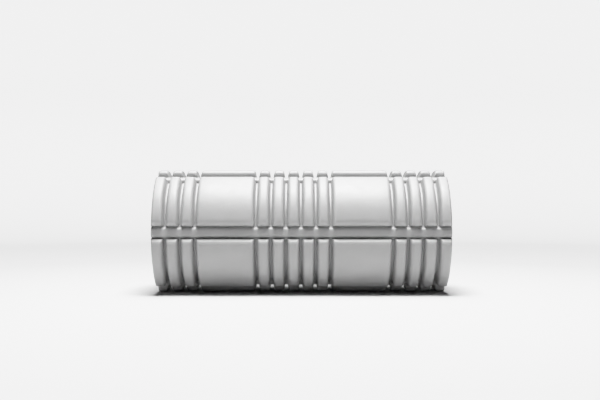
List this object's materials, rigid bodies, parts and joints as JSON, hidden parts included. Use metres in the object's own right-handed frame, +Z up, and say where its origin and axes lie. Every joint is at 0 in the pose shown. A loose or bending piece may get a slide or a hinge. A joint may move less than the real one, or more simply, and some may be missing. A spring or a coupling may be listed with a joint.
{
  "type": "foam roller",
  "caption": "Hollow-core massage roller lying on its side: a moulded foam sleeve with rows of narrow ribs and wide pads, bonded onto a rigid open tube.",
  "frame": {"origin": "on the roller's axis at mid-length, in the middle of the core's bore", "axes": "+X along the roller's axis, +Z up as it lies on the floor, -Y towards the long groove that faces the viewer"},
  "size_m": [0.33, 0.1386, 0.14],
  "materials": {
    "core_abs": "satin",
    "bond_adhesive": "clear, slightly amber",
    "sleeve_foam": "matt moulded foam skin"
  },
  "bodies": {
    "root": {"core_tube": "core_abs", "bond_layer": "bond_adhesive", "foam_sleeve": "sleeve_foam"}
  },
  "joints": []
}
